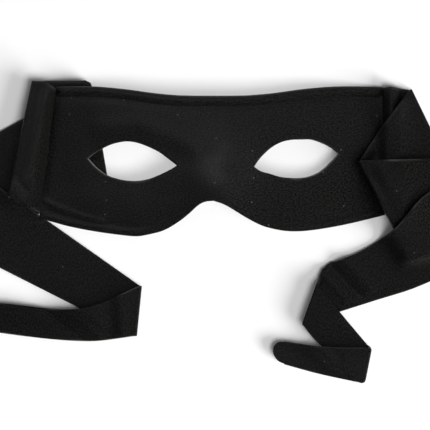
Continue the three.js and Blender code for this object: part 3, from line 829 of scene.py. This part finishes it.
pile = Pile()
left_panels = tie_panels("left", tie_lines(SIDES["left"], LEFT_TIE))
right_panels = tie_panels("right", tie_lines(SIDES["right"], RIGHT_TIE))
for panel in left_panels + right_panels:
    fill_panel(panel)
for panel in sorted(left_panels[1:], key=lambda each: each["laid"]):
    lay(panel, pile, False)
strips = [front_strip(side, upper) for side in SIDES.values() for upper in (True, False)]
for points, half, fray_and_edge_highlight in strips:
    pile.add(points, MASK_CLOTH)
lay(left_panels[0], pile, True)
for panel in sorted(right_panels, key=lambda each: each["laid"]):
    lay(panel, pile, panel is right_panels[0])

# The CAD front's box gives the frame's place, because its outline is the same.
front_low, front_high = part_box("mask_front")
all_x = np.concatenate([points[..., 0].ravel() for points, half, fray_and_edge_highlight in strips])
all_y = np.concatenate([points[..., 1].ravel() for points, half, fray_and_edge_highlight in strips])
shift = np.array([(front_low[0] + front_high[0]) / 2 / MM - (all_x.min() + all_x.max()) / 2,
                  (front_low[1] + front_high[1]) / 2 / MM - (all_y.min() + all_y.max()) / 2, 0])

front = cloth_mesh("front", [(p, h, p[..., :2], f) for p, h, f in strips], shift)
left_tie = cloth_mesh("left_tie", [tie_sheet(left_panels)], shift)
right_tie = cloth_mesh("right_tie", [tie_sheet(right_panels)], shift)


# Finishes

def linear(hex_colour):
    """An sRGB hex colour as the linear values that shaders take."""
    channels = [int(hex_colour[k:k + 2], 16) / 255 for k in (1, 3, 5)]
    return tuple(c / 12.92 if c <= 0.04045 else ((c + 0.055) / 1.055) ** 2.4 for c in channels) + (1.0,)


def add_node(tree, kind, inputs=None, **settings):
    """Adds a shader node with its settings, and its inputs as values or as sockets to link."""
    node = tree.nodes.new(kind)
    for name, value in settings.items():
        setattr(node, name, value)
    for name, value in (inputs or {}).items():
        if isinstance(value, bpy.types.NodeSocket):
            tree.links.new(value, node.inputs[name])
        else:
            node.inputs[name].default_value = value
    return node


def black_cloth(name, dark, light, fray_and_highlight_colour, gloss, thread_mm, turn, lint_share):
    """Dull black cloth. Its threads catch a little light, so slopes that face the light are greyer."""
    material = bpy.data.materials.new(name)
    material.use_nodes = True
    tree = material.node_tree
    tree.nodes.clear()
    place = add_node(tree, "ShaderNodeUVMap", uv_map="flat cloth")
    turned = add_node(tree, "ShaderNodeMapping", {
        "Vector": place.outputs["UV"], "Rotation": (0, 0, math.radians(turn)), "Scale": (0.65, 1, 1)})
    # Threads are about 0.3 mm apart. They are drawn coarser, so that the grain shows in the picture, and
    # about one and a half times as long as they are wide.
    grain = add_node(tree, "ShaderNodeTexNoise", {
        "Vector": turned.outputs["Vector"], "Scale": 1 / (thread_mm * MM), "Detail": 3.0, "Roughness": 0.6})
    spread = add_node(tree, "ShaderNodeMapRange", {
        "Value": grain.outputs["Fac"], "From Min": 0.42, "From Max": 0.58})
    cloth = add_node(tree, "ShaderNodeMix", {"Factor": spread.outputs["Result"]}, data_type="RGBA")
    cloth.inputs[6].default_value = linear(dark)
    cloth.inputs[7].default_value = linear(light)
    # Lint: pale specks about 0.6 mm across, in a share of the pattern's cells
    lint = add_node(tree, "ShaderNodeTexVoronoi", {
        "Vector": place.outputs["UV"], "Scale": 1 / (LINT_SPACING * MM), "Randomness": 1.0},
        voronoi_dimensions="2D")
    near = add_node(tree, "ShaderNodeMapRange", {
        "Value": lint.outputs["Distance"], "From Min": 0.02, "From Max": 0.05, "To Min": 1.0, "To Max": 0.0})
    pick = add_node(tree, "ShaderNodeSeparateColor", {"Color": lint.outputs["Color"]})
    rare = add_node(tree, "ShaderNodeMath", {0: pick.outputs["Red"], 1: lint_share}, operation="LESS_THAN")
    speck = add_node(tree, "ShaderNodeMath", {
        0: near.outputs["Result"], 1: rare.outputs["Value"]}, operation="MULTIPLY")
    colour = add_node(tree, "ShaderNodeMix", {"Factor": speck.outputs["Value"]}, data_type="RGBA")
    tree.links.new(cloth.outputs[2], colour.inputs[6])
    colour.inputs[7].default_value = linear("#474744")
    # Cut edges show a thin paler line of broken threads, which comes and goes every 14 mm or so. On the lower
    # lids and some tie edges it is also a painted highlight along the edge.
    edge = add_node(tree, "ShaderNodeAttribute", attribute_name="fray_and_edge_highlight")
    stretch = add_node(tree, "ShaderNodeTexNoise", {
        "Vector": place.outputs["UV"], "Scale": 70.0, "Detail": 1.0})
    comes = add_node(tree, "ShaderNodeMapRange", {
        "Value": stretch.outputs["Fac"], "From Min": 0.4, "From Max": 0.6})
    fray_and_highlight_amount = add_node(tree, "ShaderNodeMath", {
        0: edge.outputs["Fac"], 1: comes.outputs["Result"]}, operation="MULTIPLY")
    fray_and_highlight_mix = add_node(tree, "ShaderNodeMix", {"Factor": fray_and_highlight_amount.outputs["Value"]}, data_type="RGBA")
    tree.links.new(colour.outputs[2], fray_and_highlight_mix.inputs[6])
    fray_and_highlight_mix.inputs[7].default_value = linear(fray_and_highlight_colour)
    bump = add_node(tree, "ShaderNodeBump", {
        "Height": grain.outputs["Fac"], "Strength": 0.6, "Distance": GRAIN_DEPTH * MM})
    # Painted highlights and painted shade: the gloss rises above 0, as on the moulded nose, whose nap is also
    # pressed smooth, and falls below 0 as painted shade in hollows.
    smooth = add_node(tree, "ShaderNodeAttribute", attribute_name="pressed_and_painted_sheen")
    painted_shine = add_node(tree, "ShaderNodeMapRange", {
        "Value": smooth.outputs["Fac"], "From Min": -1.0, "From Max": 1.0,
        "To Min": 0.25 * gloss, "To Max": 1.75 * gloss})
    shader = add_node(tree, "ShaderNodeBsdfPrincipled", {
        "Roughness": 0.5, "IOR": 1.45, "Specular IOR Level": painted_shine.outputs["Result"],
        "Sheen Weight": 0.01, "Sheen Roughness": 0.4, "Normal": bump.outputs["Normal"]})
    tree.links.new(fray_and_highlight_mix.outputs[2], shader.inputs["Base Color"])
    add_node(tree, "ShaderNodeOutputMaterial", {"Surface": shader.outputs["BSDF"]})
    return material


# Short fibres, bonded and pressed over a mould: an even matt black with a faint nap that holds more lint and
# breaks into pale fibres where the eye holes are cut. Its gloss carries painted highlights where the mould
# pressed hardest and painted shade in hollows, and the pale cut edges are partly a painted highlight.
felt = black_cloth("black bonded felt", dark="#000000", light="#171716", fray_and_highlight_colour="#7C7C76", gloss=0.2,
                   thread_mm=0.55, turn=0, lint_share=0.2)
# Twisted threads, woven and cut across the weave: a duller, finely pebbled black with a slanting grain.
crepe = black_cloth("black woven crepe", dark="#000000", light="#171716", fray_and_highlight_colour="#5A5A56", gloss=0.165,
                    thread_mm=0.55, turn=35, lint_share=0.06)

for piece, node, slot, material in ((front, "mask_front", "mask_cloth", felt),
                                    (left_tie, "tie_left", "tie_cloth", crepe),
                                    (right_tie, "tie_right", "tie_cloth", crepe)):
    piece.data.materials.append(material)
    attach(piece, "root")
    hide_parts(node)


# Stage: a pale floor, soft light and a camera that looks straight down

def stage_floor():
    bpy.ops.object.select_all(action="DESELECT")
    bpy.ops.mesh.primitive_plane_add(size=4, location=(0, 0, 0))
    floor = bpy.context.object
    floor.name = "floor"
    paper = bpy.data.materials.new("white paper")
    paper.use_nodes = True
    paper.node_tree.nodes["Principled BSDF"].inputs["Base Color"].default_value = linear("#F4F4F4")
    paper.node_tree.nodes["Principled BSDF"].inputs["Roughness"].default_value = 0.9
    floor.data.materials.append(paper)


def soft_light(name, place, size, power):
    data = bpy.data.lights.new(name, "AREA")
    data.shape = "DISK"
    data.size = size
    data.energy = power
    light = bpy.data.objects.new(name, data)
    light.location = place
    light.rotation_mode = "QUATERNION"
    light.rotation_quaternion = light.location.to_track_quat("Z", "Y")
    bpy.context.collection.objects.link(light)
    return light


def photo_camera():
    """Straight down from far enough that height hardly changes scale, framed as the photo is."""
    pixel = MASK_WIDTH / PHOTO_FRONT_WIDTH
    view_width = PHOTO_SIZE * pixel * MM
    middle_x = (PHOTO_SIZE / 2 - PHOTO_MIDDLE[0]) * pixel + shift[0]
    middle_y = (PHOTO_MIDDLE[1] - PHOTO_SIZE / 2) * pixel + shift[1]
    distance = 2.0
    data = bpy.data.cameras.new("camera")
    data.sensor_width = 36
    data.lens = data.sensor_width * distance / view_width
    data.clip_end = 20
    camera = bpy.data.objects.new("camera", data)
    camera.location = (middle_x * MM, middle_y * MM, distance)
    bpy.context.collection.objects.link(camera)
    bpy.context.scene.camera = camera


stage_floor()
# Three lights that show only as the sheen of the nap and its folds
window = soft_light("window", (-0.26, 0.69, 0.95), 0.5, 3.6)
window.visible_diffuse = False
wall = soft_light("wall", (0.8, 0.3, 1.2), 1.2, 1.6)
wall.visible_diffuse = False
door = soft_light("door", (-0.9, 0.3, 1.1), 0.8, 1.0)
door.visible_diffuse = False
# Two lights from the lower right that light the floor and cast the soft shadows
key = soft_light("key", (0.86, -0.86, 2.6), 1.5, 44)
key.visible_glossy = False
low = soft_light("low", (2.4, -1.4, 1.05), 1.9, 148)
low.visible_glossy = False
# Only the ties shade the low light: in the photo their soft shadows are as wide as the mask's
shades = bpy.data.collections.new("shades")
for tie in (left_tie, right_tie):
    shades.objects.link(tie)
low.light_linking.blocker_collection = shades
photo_camera()
world = bpy.data.worlds.new("studio")
bpy.context.scene.world = world
world.use_nodes = True
world.node_tree.nodes["Background"].inputs["Color"].default_value = (1, 1, 1, 1)
world.node_tree.nodes["Background"].inputs["Strength"].default_value = 0.20
bpy.context.scene.view_settings.view_transform = "Standard"
